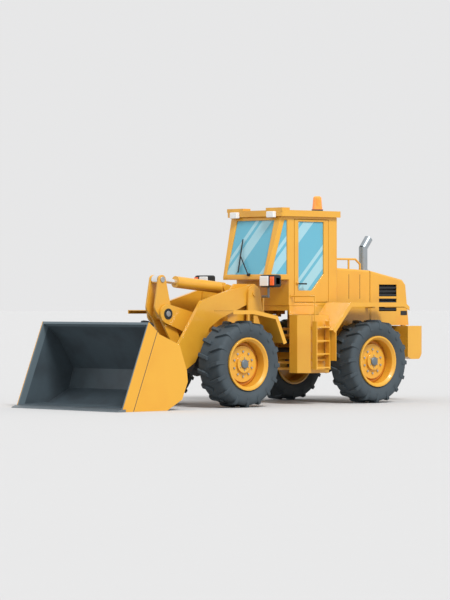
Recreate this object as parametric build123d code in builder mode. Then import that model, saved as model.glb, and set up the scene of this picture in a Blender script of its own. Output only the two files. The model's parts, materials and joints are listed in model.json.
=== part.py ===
from build123d import *
import os
from math import atan2, degrees, hypot

# Wheel loader of about eleven tonnes, in millimetres.
# X points ahead, Y to the driver's left, Z up. The origin is on the ground, under the middle of
# the machine with its bucket flat on the ground.

# Driving sizes
LENGTH = 7110
BUCKET_WIDTH = 2550
TYRE_RADIUS = 675
TRACK = 1950
FRONT_AXLE_X = 835
REAR_AXLE_X = -2035
STEER_X = -600
CAB_HALF = 620
CAB_FLOOR_Z = 1580
ROOF_Z = 3010
HOOD_HALF = 555
COUNTERWEIGHT_HALF = 800

FRONT_END = LENGTH / 2
REAR_END = -LENGTH / 2
BUCKET_HALF = BUCKET_WIDTH / 2
WHEEL_Z = TYRE_RADIUS
WHEEL_Y = TRACK / 2

# Pins of the lifting and tilting linkage, as (X, Z)
BOOM_PIN = (10, 1775)
BUCKET_PIN = (2000, 370)
CRANK_PIN = (1590, 1453)
CRANK_TOP = (1665, 1990)
CRANK_FOOT = (1303, 863)
LINK_PIN = (2099, 621)
TILT_BASE = (270, 1860)
LIFT_BASE = (-300, 850)
LIFT_EYE = (790, 1240)
CROSS_TUBE = (1060, 1290)

# Steering cylinders, as (X, Y) at one height
STEER_BASE = (-1180, 300)
STEER_EYE = (-370, 400)
STEER_Z = 1000

PIN_R = 45
PIN_PLAY = 1.5
SHEET = 15
WALL = 50
TUBE_FLATS = 12
AXLE_FLATS = 24
WHEEL_FLATS = 32


def side_plane(y):
    """A plane facing +Y at the given y, with its x along +X and its y along -Z."""
    return Plane(origin=(0, y, 0), x_dir=(1, 0, 0), z_dir=(0, 1, 0))


def plate(points, y_from, y_to, mode=Mode.ADD):
    """Extrudes a side outline, given as (X, Z), from one y to another."""
    with BuildSketch(side_plane(y_from)) as outline:
        with BuildLine():
            Polyline(*[(x, -z) for x, z in points], close=True)
        make_face()
    extrude(outline.sketch, amount=y_to - y_from, dir=(0, 1, 0), mode=mode)


def hull_plate(discs, y_from, y_to, mode=Mode.ADD):
    """Extrudes the taut outline round some discs, given as (X, Z, radius)."""
    with BuildSketch(side_plane(y_from)) as outline:
        for x, z, r in discs:
            with Locations((x, -z)):
                Circle(r)
        make_hull()
    extrude(outline.sketch, amount=y_to - y_from, dir=(0, 1, 0), mode=mode)


def floor_plate(points, z_from, z_to, mode=Mode.ADD):
    """Extrudes an outline seen from above, given as (X, Y), from one height to another."""
    with BuildSketch(Plane.XY.offset(z_from)) as outline:
        with BuildLine():
            Polyline(*points, close=True)
        make_face()
    extrude(outline.sketch, amount=z_to - z_from, dir=(0, 0, 1), mode=mode)


def block(x_from, x_to, y_from, y_to, z_from, z_to, mode=Mode.ADD):
    """A rectangular block between two corners."""
    with Locations(((x_from + x_to) / 2, (y_from + y_to) / 2, (z_from + z_to) / 2)):
        Box(abs(x_to - x_from), abs(y_to - y_from), abs(z_to - z_from), mode=mode)


def cross_bar(at, r, y_from, y_to, mode=Mode.ADD):
    """A round bar across the machine, at the point (X, Z)."""
    with Locations(Location((at[0], (y_from + y_to) / 2, at[1]), (90, 0, 0))):
        Cylinder(r, abs(y_to - y_from), mode=mode)


def post(x, y, r, z_from, z_to, mode=Mode.ADD):
    """A round upright bar."""
    with Locations((x, y, (z_from + z_to) / 2)):
        Cylinder(r, z_to - z_from, mode=mode)


def rod_between(start, end, r, mode=Mode.ADD):
    """A round bar from one point to another."""
    run = Vector(*end) - Vector(*start)
    with BuildSketch(Plane(origin=start, z_dir=run)) as section:
        Circle(r)
    extrude(section.sketch, amount=run.length, mode=mode)


def small_tube(points, r):
    """A light tube with mitred corners along some points, built in flats."""
    first = Vector(*points[1]) - Vector(*points[0])
    with BuildLine() as path:
        Polyline(*points)
    with BuildSketch(Plane(origin=points[0], z_dir=first)) as section:
        RegularPolygon(r, TUBE_FLATS)
    sweep(section.sketch, path=path.line, transition=Transition.RIGHT)


def wheel_disc(r, x, y_from, y_to, taper=0, mode=Mode.ADD, flats=WHEEL_FLATS):
    """Extrudes a regular polygon along Y, standing on a flat and drawn in by a taper in degrees."""
    ahead = 1 if y_to > y_from else -1
    with BuildSketch(Plane(origin=(x, y_from, WHEEL_Z), x_dir=(0, 0, -1), z_dir=(0, ahead, 0))) as disc:
        RegularPolygon(r, flats, major_radius=False, rotation=180 / flats)
    extrude(disc.sketch, amount=abs(y_to - y_from), taper=taper, mode=mode)


def along(start, end, distance, y=0):
    """The point at a distance from one (X, Z) point towards another, at the given y."""
    run = hypot(end[0] - start[0], end[1] - start[1])
    share = distance / run
    return (start[0] + (end[0] - start[0]) * share, y, start[1] + (end[1] - start[1]) * share)


def both_sides():
    """Repeats what the active part holds on the other side of the machine."""
    mirror(about=Plane.XZ)


def save(piece, name):
    """Names a finished piece and writes it."""
    piece.part.label = name
    export_step(piece.part, f"parts/{name}.step")


os.makedirs("parts", exist_ok=True)

# Rear frame: two long plates that arch over the rear axle, double ears at the steering pivot,
# a platform that carries the cab, hangers for the rear axle and beams under the engine.
FRAME_IN, FRAME_OUT = 400, 440
FRAME_FRONT, FRAME_REAR = -1050, -3150
FRAME_TOP = 1080
TRUNNION_Z = 760
TRUNNION_R = 80
EAR_R = 110
STEER_PIN_R = 40
SHAFT_Z, SHAFT_R = 860, 40
REAR_EARS = ((540, 580), (640, 680), (1080, 1120), (1180, 1220))
with BuildPart() as rear_frame:
    plate([(FRAME_FRONT, 540), (FRAME_FRONT, 1220), (-1300, 1220), (-1450, FRAME_TOP),
           (FRAME_REAR, FRAME_TOP), (FRAME_REAR, 700), (-2600, 640), (-2380, 830),
           (-1690, 830), (-1480, 540)], FRAME_IN, FRAME_OUT)
    block(STEER_BASE[0] - 45, STEER_BASE[0] + 45, 250, FRAME_IN, STEER_Z + 45, STEER_Z + 65)
    block(STEER_BASE[0] - 45, STEER_BASE[0] + 45, 250, FRAME_IN, STEER_Z - 65, STEER_Z - 45)
    post(STEER_BASE[0], STEER_BASE[1], 25, STEER_Z - 75, STEER_Z + 75)
    both_sides()
    for z_from, z_to in REAR_EARS:
        floor_plate([(FRAME_FRONT, -FRAME_OUT), (FRAME_FRONT, FRAME_OUT), (STEER_X, EAR_R),
                     (STEER_X, -EAR_R)], z_from, z_to)
        post(STEER_X, 0, EAR_R, z_from, z_to)
        post(STEER_X, 0, STEER_PIN_R + PIN_PLAY, z_from, z_to, mode=Mode.SUBTRACT)
    for x in (-1360, FRAME_REAR + 20):
        block(x - 20, x + 20, -FRAME_IN, FRAME_IN, 700, FRAME_TOP)
    rod_between((-1400, 0, SHAFT_Z), (-1300, 0, SHAFT_Z), SHAFT_R + 10, mode=Mode.SUBTRACT)
    for x in (-2700, -2980):
        block(x - 40, x + 40, -FRAME_IN, FRAME_IN, 840, 900)
    for x in (-1715, -2355):
        block(x - 15, x + 15, -FRAME_IN, FRAME_IN, 640, 890)
        with Locations(Location((x, 0, TRUNNION_Z), (0, 90, 0))):
            Cylinder(TRUNNION_R + PIN_PLAY, 60, mode=Mode.SUBTRACT)
    for x in (-1150, -1620):
        for y in (-420, 420):
            block(x - 50, x + 50, y - 20, y + 20, FRAME_TOP - 40, 1500)
    block(-1672, -600, -CAB_HALF + 20, CAB_HALF - 20, 1500, CAB_FLOOR_Z)
    for y in (-CAB_HALF, CAB_HALF - 20):
        block(-1672, -600, y, y + 20, 1435, CAB_FLOOR_Z)
save(rear_frame, "rear_frame")

# Axles: a round beam, a bulging gear housing in the middle, brake drums and spindles.
AXLE_R = 110
TRUMPET_R = 150
TRUMPET_END = 284
HOUSING_R = 215
HOUSING_FLATS = 20
DRUM_R = 200
SPINDLE_R = 90
DRUM_IN, DRUM_OUT = 640, 740
SPINDLE_END = 1085


def axle_beam(x):
    """The parts that both axles share."""
    wheel_disc(AXLE_R, x, -DRUM_IN, DRUM_IN, flats=AXLE_FLATS)
    for face in (-1, 1):
        with BuildSketch(Plane(origin=(x, 0, WHEEL_Z), x_dir=(0, 1, 0), z_dir=(face, 0, 0))) as housing:
            RegularPolygon(HOUSING_R, HOUSING_FLATS)
        extrude(housing.sketch, amount=180, taper=20)
    for side in (-1, 1):
        wheel_disc(TRUMPET_R, x, 0, side * TRUMPET_END, 7, flats=AXLE_FLATS)
        wheel_disc(DRUM_R, x, side * DRUM_IN, side * DRUM_OUT, flats=AXLE_FLATS)
        wheel_disc(SPINDLE_R - 1, x, side * DRUM_OUT, side * SPINDLE_END, flats=AXLE_FLATS)


with BuildPart() as rear_axle:
    axle_beam(REAR_AXLE_X)
    rod_between((-2390, 0, TRUNNION_Z), (-1680, 0, TRUNNION_Z), TRUNNION_R)
save(rear_axle, "rear_axle")

PAD_TOP = 785
with BuildPart() as front_axle:
    axle_beam(FRONT_AXLE_X)
    for side in (-1, 1):
        block(FRONT_AXLE_X - 120, FRONT_AXLE_X + 120, side * 285, side * 345, WHEEL_Z, PAD_TOP)
    rod_between((FRONT_AXLE_X, 0, WHEEL_Z), (STEER_X + 60, 0, SHAFT_Z), SHAFT_R)
save(front_axle, "front_axle")

# Engine block, and the gearbox with its shaft towards the steering pivot
with BuildPart() as engine:
    block(-3080, -2420, -290, 290, 900, 1700)
    block(-1650, -1380, -300, 300, 620, 1070)
    rod_between((-1380, 0, SHAFT_Z), (STEER_X - 60, 0, SHAFT_Z), SHAFT_R)
save(engine, "engine")

# Counterweight: a heavy casting with rounded rear corners and a tow-pin slot
CW_FRONT = FRAME_REAR
CW_LOW, CW_TOP = 690, 1240
TOW_R = 26
TOW_X = -3490
HOOD_HINGE = (-3478, 1266)
with BuildPart() as counterweight:
    plate([(CW_FRONT, CW_LOW + 40), (CW_FRONT, CW_TOP), (REAR_END, CW_TOP), (REAR_END, 840),
           (-3420, CW_LOW), (-3230, CW_LOW)], -COUNTERWEIGHT_HALF, COUNTERWEIGHT_HALF)
    fillet(counterweight.edges().filter_by(Axis.Z).sort_by(Axis.X)[:2], 120)
    block(REAR_END - 10, -3420, -110, 110, 900, 980, mode=Mode.SUBTRACT)
    post(TOW_X, 0, TOW_R, 840, CW_TOP + 10, mode=Mode.SUBTRACT)
    for side in (-1, 1):
        for y in (330, 400):
            hull_plate([(*HOOD_HINGE, 18), (HOOD_HINGE[0] - 15, CW_TOP - 20, 18),
                        (HOOD_HINGE[0] + 2, CW_TOP - 20, 18)], side * y, side * (y + 20))
        cross_bar(HOOD_HINGE, 9, side * 330, side * 420)
save(counterweight, "counterweight")

# Engine deck: the fixed cover between the cab and the tilting hood
DECK_FRONT, DECK_SPLIT = -1735, -2500
with BuildPart() as engine_deck:
    plate([(DECK_FRONT, FRAME_TOP), (DECK_FRONT, 2196), (DECK_SPLIT, 2160), (DECK_SPLIT, FRAME_TOP)],
          -HOOD_HALF, HOOD_HALF)
    fillet(engine_deck.edges().filter_by(lambda e: abs(e.center().Y) > 550 and e.center().Z > 2100), 40)
    plate([(DECK_FRONT - SHEET, FRAME_TOP + SHEET), (DECK_FRONT - SHEET, 2180),
           (DECK_SPLIT - 10, 2144), (DECK_SPLIT - 10, FRAME_TOP + SHEET)],
          -HOOD_HALF + SHEET, HOOD_HALF - SHEET, mode=Mode.SUBTRACT)
    block(DECK_FRONT - SHEET, DECK_SPLIT - 10, -FRAME_IN, FRAME_IN, FRAME_TOP - 10, FRAME_TOP + 30,
          mode=Mode.SUBTRACT)
save(engine_deck, "engine_deck")

# Tilting hood: a sloping shell with openings for the side grilles and the rear grille
HOOD_FRONT = DECK_SPLIT - 8
HOOD_REAR = -3449
HOOD_LOW = 1252
HOOD_OUTLINE = [(HOOD_FRONT, HOOD_LOW), (HOOD_FRONT, 2160), (-3282, 2012), (-3366, 1927),
                (HOOD_REAR, HOOD_LOW)]
SIDE_GRILLE = (-3134, -2716, 1485, 1927)
with BuildPart() as hood_shell:
    plate(HOOD_OUTLINE, -HOOD_HALF, HOOD_HALF)
    fillet(hood_shell.edges().filter_by(lambda e: abs(e.center().Y) > 550 and e.center().Z > 1300), 40)
    plate([(HOOD_FRONT + 10, HOOD_LOW - 10), (HOOD_FRONT + 10, 2142), (-3275, 1995), (-3351, 1920),
           (HOOD_REAR + SHEET + 1, HOOD_LOW - 10)], -HOOD_HALF + SHEET, HOOD_HALF - SHEET,
          mode=Mode.SUBTRACT)
    block(SIDE_GRILLE[0], SIDE_GRILLE[1], -HOOD_HALF - 10, HOOD_HALF + 10, SIDE_GRILLE[2],
          SIDE_GRILLE[3], mode=Mode.SUBTRACT)
    block(-3500, -3340, -400, 400, 1400, 1850, mode=Mode.SUBTRACT)
    for side in (-1, 1):
        hull_plate([(*HOOD_HINGE, 18), (-3435, HOOD_LOW + 30, 12),
                    (-3435, HOOD_LOW + 60, 12)], side * 355, side * 395)
        cross_bar(HOOD_HINGE, 10.5, side * 350, side * 400, mode=Mode.SUBTRACT)
save(hood_shell, "hood_shell")

with BuildPart() as hood_grilles:
    for side in (-1, 1):
        for z in range(1500, 1920, 60):
            block(SIDE_GRILLE[0], SIDE_GRILLE[1], side * (HOOD_HALF - 14), side * (HOOD_HALF - 4), z, z + 30)
    for z in range(1405, 1820, 60):
        lean = (z - HOOD_LOW) * (3449 - 3366) / (1927 - HOOD_LOW)
        block(HOOD_REAR + lean + 4, HOOD_REAR + lean + 14, -400, 400, z, z + 30)
save(hood_grilles, "hood_grilles")

# Exhaust stack on the hood, with a mitred tip
EXHAUST = (-2905, 0)
EXHAUST_R = 72
with BuildPart() as exhaust_stack:
    post(EXHAUST[0], EXHAUST[1], EXHAUST_R + 12, 2030, 2180)
    post(EXHAUST[0], EXHAUST[1], EXHAUST_R, 2100, 2560)
    rod_between((EXHAUST[0], 0, 2535), (EXHAUST[0] - 130, 0, 2700), EXHAUST_R - 2)
    plate(HOOD_OUTLINE, -200, 200, mode=Mode.SUBTRACT)
save(exhaust_stack, "exhaust_stack")

# Handrails along both edges of the deck, sloping down at the rear
RAIL_R = 17
GRAB_R = 11
RAIL_Y = 500
with BuildPart() as deck_rails:
    for y in (-RAIL_Y, RAIL_Y):
        small_tube([(-1770, y, 2150), (-1770, y, 2340), (-2215, y, 2340), (-2323, y, 2260),
                    (-2323, y, 2150)], RAIL_R)
        small_tube([(-2060, y, 2150), (-2060, y, 2340)], RAIL_R)
    plate([(DECK_FRONT, 1400), (DECK_FRONT, 2196), (DECK_SPLIT, 2160), (DECK_SPLIT, 1400)],
          -HOOD_HALF, HOOD_HALF, mode=Mode.SUBTRACT)
save(deck_rails, "deck_rails")

# Cab: one hollow body with posts, sills and a nose that overhangs the lifting tower
CAB_REAR = -1672
NOSE_Z = 1995
PILLAR_X = -556
DOOR_FRONT, DOOR_REAR = -711, -1484
GLASS_TOP = 2950
GLASS_LOW = 2080
SCREEN_LOW, SCREEN_TOP = (-182, 2040), (-450, ROOF_Z)
SCREEN_HALF = 500


def screen_x(z, inset=0):
    """X of the sloping windscreen face at a height, moved back by an inset."""
    slope = (SCREEN_TOP[0] - SCREEN_LOW[0]) / (SCREEN_TOP[1] - SCREEN_LOW[1])
    return SCREEN_LOW[0] + (z - SCREEN_LOW[1]) * slope - inset


def cab_plan(inset):
    """The cab's outline from above, moved in by an inset."""
    half = CAB_HALF - inset
    nose = SCREEN_HALF - inset
    return [(CAB_REAR + inset, -half), (PILLAR_X, -half), (SCREEN_LOW[0], -nose),
            (SCREEN_LOW[0], nose), (PILLAR_X, half), (CAB_REAR + inset, half)]


def quarter_window(inset):
    """The side window between the sloping front pillar and the door pillar."""
    return [(PILLAR_X - inset, GLASS_LOW), (screen_x(GLASS_LOW, 95), GLASS_LOW),
            (screen_x(GLASS_TOP, 75), GLASS_TOP), (PILLAR_X - inset, GLASS_TOP)]


SIDE_WINDOW = [(-806, 1823), (-1107, 1823), (-1372, 2094), (-1372, 2932), (-806, 2932)]
with BuildPart() as cab_cavity:
    floor_plate(cab_plan(WALL), CAB_FLOOR_Z, ROOF_Z + 10)
    plate([(-640, CAB_FLOOR_Z + WALL), (-640, NOSE_Z + WALL), (screen_x(NOSE_Z + WALL, 60), NOSE_Z + WALL),
           (screen_x(ROOF_Z + 10, 60), ROOF_Z + 10), (CAB_REAR, ROOF_Z + 10),
           (CAB_REAR, CAB_FLOOR_Z + WALL)], -CAB_HALF, CAB_HALF, mode=Mode.INTERSECT)
with BuildPart() as cab_frame:
    floor_plate(cab_plan(0), CAB_FLOOR_Z, ROOF_Z)
    plate([(-590, CAB_FLOOR_Z), (-590, NOSE_Z), (SCREEN_LOW[0], NOSE_Z), SCREEN_LOW, SCREEN_TOP,
           (CAB_REAR, ROOF_Z), (CAB_REAR, CAB_FLOOR_Z)], -CAB_HALF, CAB_HALF, mode=Mode.INTERSECT)
    add(cab_cavity.part, mode=Mode.SUBTRACT)
    plate([(SCREEN_LOW[0] + 90, GLASS_LOW), (screen_x(GLASS_LOW, 90), GLASS_LOW),
           (screen_x(GLASS_TOP, 90), GLASS_TOP), (SCREEN_LOW[0] + 90, GLASS_TOP)], -440, 440,
          mode=Mode.SUBTRACT)
    for side in (-1, 1):
        plate(quarter_window(0), side * 400, side * 700, mode=Mode.SUBTRACT)
    block(CAB_REAR - 10, CAB_REAR + WALL + 10, -480, 480, 2250, 2900, mode=Mode.SUBTRACT)
    plate(SIDE_WINDOW, -700, -500, mode=Mode.SUBTRACT)
    block(DOOR_REAR, DOOR_FRONT, 500, 700, CAB_FLOOR_Z + WALL, 2970, mode=Mode.SUBTRACT)
save(cab_frame, "cab_frame")

# Glass: panes set in the openings
PANE = 8
with BuildPart() as cab_glass:
    plate([(screen_x(GLASS_LOW, 20), GLASS_LOW), (screen_x(GLASS_LOW, 20 + PANE), GLASS_LOW),
           (screen_x(GLASS_TOP, 20 + PANE), GLASS_TOP), (screen_x(GLASS_TOP, 20), GLASS_TOP)], -440, 440)
    block(CAB_REAR + 20, CAB_REAR + 20 + PANE, -480, 480, 2250, 2900)
    plate(SIDE_WINDOW, -CAB_HALF + 20, -CAB_HALF + 20 + PANE)
with BuildPart() as quarter_panes:
    for side in (-1, 1):
        floor_plate([(PILLAR_X + 90, side * (CAB_HALF - 20 - 29)), (SCREEN_LOW[0], side * (SCREEN_HALF - 20)),
                     (SCREEN_LOW[0], side * (SCREEN_HALF - 20 - PANE)),
                     (PILLAR_X + 90, side * (CAB_HALF - 20 - 29 - PANE))], GLASS_LOW, GLASS_TOP)
        floor_plate([(PILLAR_X, side * (CAB_HALF - 20)), (PILLAR_X + 90, side * (CAB_HALF - 20 - 29)),
                     (PILLAR_X + 90, side * (CAB_HALF - 20 - 29 - PANE)),
                     (PILLAR_X, side * (CAB_HALF - 20 - PANE))], GLASS_LOW, GLASS_TOP)
    plate(quarter_window(0), -CAB_HALF, CAB_HALF, mode=Mode.INTERSECT)
with BuildPart() as all_glass:
    add(cab_glass.part)
    add(quarter_panes.part)
save(all_glass, "cab_glass")

# Roof: a slab with raised front corners
ROOF_FRONT, ROOF_REAR = -410, -1742
ROOF_HALF = 670
with BuildPart() as cab_roof:
    block(ROOF_REAR, ROOF_FRONT, -ROOF_HALF, ROOF_HALF, ROOF_Z, ROOF_Z + 100)
    fillet(cab_roof.edges().filter_by(Axis.Z), 60)
    for side in (-1, 1):
        block(ROOF_FRONT - 170, ROOF_FRONT, side * 270, side * 650, ROOF_Z + 80, ROOF_Z + 140)
save(cab_roof, "cab_roof")

BEACON = (-1490, 350)
with BuildPart() as beacon:
    for r, low, high, taper in ((95, 100, 140, 0), (84, 140, 330, 5), (67, 330, 350, 45)):
        with BuildSketch(Plane.XY.offset(ROOF_Z + low)) as ring:
            with Locations(BEACON):
                RegularPolygon(r, 2 * TUBE_FLATS)
        extrude(ring.sketch, amount=high - low, taper=taper)
save(beacon, "beacon")

with BuildPart() as roof_lamps:
    for y in (-430, 430):
        block(ROOF_FRONT, ROOF_FRONT + 70, y - 85, y + 85, ROOF_Z - 20, ROOF_Z + 80)
save(roof_lamps, "roof_lamps")

# Door: the whole left side between the pillars, hung on its rear edge
DOOR_GAP = 6
with BuildPart() as door_panel:
    block(DOOR_REAR + DOOR_GAP, DOOR_FRONT - DOOR_GAP, CAB_HALF - WALL, CAB_HALF,
          CAB_FLOOR_Z + WALL + DOOR_GAP, 2970 - DOOR_GAP)
    plate(SIDE_WINDOW, CAB_HALF - WALL - 10, CAB_HALF + 10, mode=Mode.SUBTRACT)
    block(-790, -740, CAB_HALF, CAB_HALF + 25, 1930, 1960)
save(door_panel, "door_panel")

with BuildPart() as door_glass:
    plate(SIDE_WINDOW, CAB_HALF - 28, CAB_HALF - 20)
save(door_glass, "door_glass")

# Driver's place: pedestal, cushions, steering column and armrest console
CAB_DECK = CAB_FLOOR_Z + WALL
with BuildPart() as driver_seat:
    plate([(-940, 2050), (-1420, 2050), (-1540, 2790), (-1450, 2800), (-1330, 2150), (-940, 2170)],
          -240, 240)
    fillet(driver_seat.edges().filter_by(Axis.Y), 18)
save(driver_seat, "driver_seat")

with BuildPart() as cab_controls:
    block(-1360, -1000, -180, 180, CAB_DECK, 2050)
    block(-1450, -900, -400, -290, CAB_DECK, 2330)
    block(-760, -645, -60, 60, CAB_DECK, CAB_DECK + 40)
    small_tube([(-702, 0, CAB_DECK + 20), (-800, 0, 2280)], 45)
    with BuildSketch(Plane(origin=(-800, 0, 2278), z_dir=(-0.35, 0, 1))) as hand_wheel:
        RegularPolygon(200, 2 * TUBE_FLATS)
        RegularPolygon(174, 2 * TUBE_FLATS, mode=Mode.SUBTRACT)
        Rectangle(40, 360)
    extrude(hand_wheel.sketch, amount=24)
save(cab_controls, "cab_controls")

# Rear fenders: bent sheets over the rear tyres, with mud flaps in front
FENDER_IN, FENDER_OUT = 690, 1250
LADDER_FRONT, LADDER_REAR = -700, -1010
LADDER_IN, LADDER_OUT = 1040, 1140
with BuildPart() as rear_fenders:
    plate([(-965, 1190), (-1359, 1630), (-2620, 1630), (-2720, 1560), (-2720, 1545), (-2612, 1615),
           (-1366, 1615), (-975, 1178)], FENDER_IN, FENDER_OUT)
    plate([(-965, 1190), (-1359, 1630), (-2620, 1630), (-2720, 1560), (-2720, 1500), (-2600, 1560),
           (-1385, 1560), (-1010, 1140)], FENDER_OUT - SHEET, FENDER_OUT)
    block(-1470, -1410, 480, FENDER_IN + 30, 1395, 1430)
    block(-1470, -1410, 480, 540, 1395, 1500)
    block(-1470, -1410, FENDER_IN, FENDER_IN + 30, 1395, 1620)
    block(-2450, -2390, HOOD_HALF, FENDER_IN + 30, 1540, 1600)
    block(-2450, -2390, FENDER_IN, FENDER_IN + 30, 1540, 1620)
    block(-1125, -960, FENDER_IN - 10, 1010, 1100, 1450, mode=Mode.SUBTRACT)
    block(-1015, -960, FENDER_IN - 10, LADDER_OUT + 10, 1100, 1450, mode=Mode.SUBTRACT)
    block(-1035, -1023, 1010, FENDER_OUT, 700, 1240)
    both_sides()
save(rear_fenders, "rear_fenders")

# Tank and battery box beside the frame
BOX_FRONT, BOX_REAR = -550, -1120
BOX_IN, BOX_OUT = 490, 1000
with BuildPart() as side_boxes:
    floor_plate([(BOX_REAR, BOX_IN), (-850, BOX_IN), (BOX_FRONT, 670), (BOX_FRONT, 850),
                 (BOX_FRONT - 150, BOX_OUT), (BOX_REAR, BOX_OUT)], 503, 1430)
    block(-1110, -1060, FRAME_OUT, BOX_IN, 700, 1000)
    both_sides()
save(side_boxes, "side_boxes")

# Ladder beside the left box, with a grab rail
with BuildPart() as ladder:
    for x in (LADDER_FRONT - 20, LADDER_REAR):
        block(x, x + 20, LADDER_IN, LADDER_OUT, 560, 1330)
    for z in (580, 798, 1007, 1226):
        block(LADDER_REAR, LADDER_FRONT, LADDER_IN, LADDER_OUT, z, z + 25)
    for z in (700, 1200):
        block(LADDER_REAR + 10, LADDER_FRONT - 10, 1000, LADDER_IN + 10, z, z + 30)
    small_tube([(LADDER_FRONT - 10, 1090, 1320), (LADDER_FRONT - 10, 1090, 1730),
                (LADDER_FRONT - 10, 1000, 1730), (-640, CAB_HALF + 3, 1730)], GRAB_R)
    block(-665, -615, CAB_HALF, CAB_HALF + 12, 1705, 1755)
save(ladder, "ladder")

# Front frame: inner plates from the steering ears to the axle, a tower with outer plates at the
# boom pin, a beam that carries the tilt cylinder, and brackets for cylinders and fenders.
INNER_IN, INNER_OUT = 295, 330
OUTER_IN, OUTER_OUT = 420, 455
FRONT_EARS = ((590, 630), (1130, 1170))
FENDER_KNEE, FENDER_CREST = (265, 1408), (740, 1496)


def fender_under(x):
    """Height of the front fender's underside at an x between its knee and its crest."""
    rise = (FENDER_CREST[1] - FENDER_KNEE[1]) / (FENDER_CREST[0] - FENDER_KNEE[0])
    return FENDER_KNEE[1] + (x - FENDER_KNEE[0]) * rise


with BuildPart() as front_frame:
    plate([(-330, 540), (-330, 740), (-400, 760), (-400, 940), (-330, 960), (-330, 1230), (-200, 1500),
           (-200, 1850), (-110, 1925), (330, 1925), (420, 1840), (480, 1300), (1150, 1040),
           (1150, PAD_TOP), (450, PAD_TOP), (150, 540)], INNER_IN, INNER_OUT)
    hull_plate([(*BOOM_PIN, 130), (-150, 1260, 50), (110, 1260, 50)], OUTER_IN, OUTER_OUT)
    block(-200, 160, INNER_OUT, OUTER_OUT, 1210, 1260)
    block(-200, -165, INNER_OUT, OUTER_OUT, 1210, 1700)
    cross_bar(BOOM_PIN, PIN_R, INNER_IN, OUTER_OUT + 15)
    cross_bar(LIFT_BASE, 33, 140, INNER_IN)
    for y in (130, 285):
        hull_plate([(*LIFT_BASE, 60), (-320, 850, 60), (-280, 700, 40)], y, y + 15)
    block(-400, -240, 130, INNER_IN, 640, 690)
    for z in (STEER_Z - 62, STEER_Z + 42):
        floor_plate([(STEER_EYE[0] - 45, STEER_EYE[1] + 45), (STEER_EYE[0] + 45, STEER_EYE[1] + 45),
                     (-200, INNER_OUT), (-330, INNER_OUT), (STEER_EYE[0] - 45, STEER_EYE[1])], z, z + 20)
    block(60, 140, 0, INNER_IN, 1760, 1890)
    hull_plate([(*TILT_BASE, 62), (100, 1805, 40), (100, 1845, 40)], 60, 90)
    block(380, 440, INNER_OUT, 830, 1250, 1300)
    plate([(380, 1250), (440, 1250), (440, fender_under(440)), (380, fender_under(380))], 800, 830)
    both_sides()
    cross_bar(TILT_BASE, 35, -90, 90)
    for z_from, z_to in FRONT_EARS:
        floor_plate([(STEER_X, -EAR_R), (-330, -INNER_OUT), (-240, -INNER_OUT), (-240, INNER_OUT),
                     (-330, INNER_OUT), (STEER_X, EAR_R)], z_from, z_to)
        post(STEER_X, 0, EAR_R, z_from, z_to)
    for low, high in ((530, 690), (1070, 1230)):
        post(STEER_X, 0, STEER_PIN_R, low, high)
    block(960, 1000, -INNER_IN, INNER_IN, 910, 1030)
save(front_frame, "front_frame")

with BuildPart() as front_fenders:
    plate([(60, 1000), (255, 1420), (737, 1510), (1200, 1510), (1200, 1496), FENDER_CREST, FENDER_KNEE,
           (74, 994)], 800, FENDER_OUT)
    plate([(60, 1000), (255, 1420), (737, 1510), (1200, 1510), (1200, 1450), (750, 1450), (300, 1370),
           (125, 975)], FENDER_OUT - SHEET, FENDER_OUT)
    both_sides()
save(front_fenders, "front_fenders")

LAMP_STALK = (-62, 700, 1725)
with BuildPart() as headlamps:
    block(-120, 63, 600, 946, 1870, 2070)
    small_tube([(LAMP_STALK[0], LAMP_STALK[1], 1872), LAMP_STALK, (LAMP_STALK[0], OUTER_OUT, LAMP_STALK[2])],
               20)
    both_sides()
save(headlamps, "headlamps")

# Boom: two cranked arms, a cross tube, brackets for the bell crank and lugs for the lift rods
ARM_IN, ARM_OUT = 340, 410
with BuildPart() as boom:
    plate([(-40, 1915), (488, 1829), (1097, 1656), (1547, 1018), (2085, 430), (1935, 275),
           (1231, 700), (930, 1235), (707, 1374), (42, 1632)], ARM_IN, ARM_OUT)
    cross_bar(BOOM_PIN, 145, ARM_IN, ARM_OUT)
    cross_bar(BUCKET_PIN, 110, ARM_IN, ARM_OUT)
    cross_bar(BOOM_PIN, PIN_R + PIN_PLAY, ARM_IN, ARM_OUT, mode=Mode.SUBTRACT)
    cross_bar(BUCKET_PIN, PIN_R + PIN_PLAY, ARM_IN, ARM_OUT, mode=Mode.SUBTRACT)
    hull_plate([(*CRANK_PIN, 150), (*CROSS_TUBE, 180)], 130, 170)
    cross_bar(CRANK_PIN, PIN_R + PIN_PLAY, 130, 170, mode=Mode.SUBTRACT)
    for y in (155, 250):
        hull_plate([(*LIFT_EYE, 70), (*CROSS_TUBE, 90)], y, y + 25)
    both_sides()
    cross_bar(CROSS_TUBE, 100, -ARM_IN, ARM_IN)
save(boom, "boom")

# Bell crank: two plates joined at the hub, and the pin that it turns on
CRANK_IN, CRANK_OUT = 80, 120
with BuildPart() as bell_crank:
    hull_plate([(*CRANK_TOP, 72), (*CRANK_PIN, 130), (1700, 1560, 115)], CRANK_IN, CRANK_OUT)
    hull_plate([(*CRANK_PIN, 130), (*CRANK_FOOT, 78)], CRANK_IN, CRANK_OUT)
    both_sides()
    cross_bar(CRANK_PIN, 95, -CRANK_IN, CRANK_IN)
    cross_bar(CRANK_PIN, PIN_R + PIN_PLAY, -CRANK_OUT, CRANK_OUT, mode=Mode.SUBTRACT)
save(bell_crank, "bell_crank")

with BuildPart() as bell_crank_pin:
    cross_bar(CRANK_PIN, PIN_R, -185, 185)
save(bell_crank_pin, "bell_crank_pin")

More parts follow.
